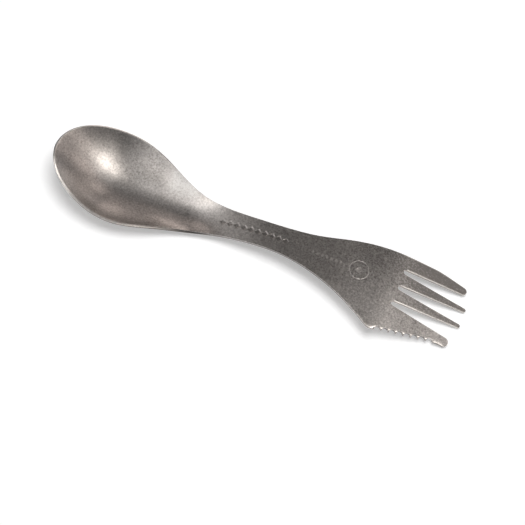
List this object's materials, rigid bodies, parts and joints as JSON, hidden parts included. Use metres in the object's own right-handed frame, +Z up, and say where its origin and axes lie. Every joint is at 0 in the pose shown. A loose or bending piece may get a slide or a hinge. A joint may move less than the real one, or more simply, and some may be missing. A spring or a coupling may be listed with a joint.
{
  "type": "spork",
  "caption": "Camping spork pressed from one metal sheet: spoon bowl at one end, waisted handle, tapered tines at the other, with a serrated knife edge along the outer tine.",
  "frame": {"origin": "on the table under the middle of the part's box: the bowl's underside and the tine tips touch z = 0", "axes": "+X from the spoon tip to the fork tips, +Y to the plain side of the fork (away from the tooth row), +Z up out of the bowl"},
  "size_m": [0.17, 0.04, 0.0158],
  "materials": {
    "titanium": "bead-blasted matt titanium"
  },
  "bodies": {
    "root": {"spork": "titanium"}
  },
  "joints": []
}
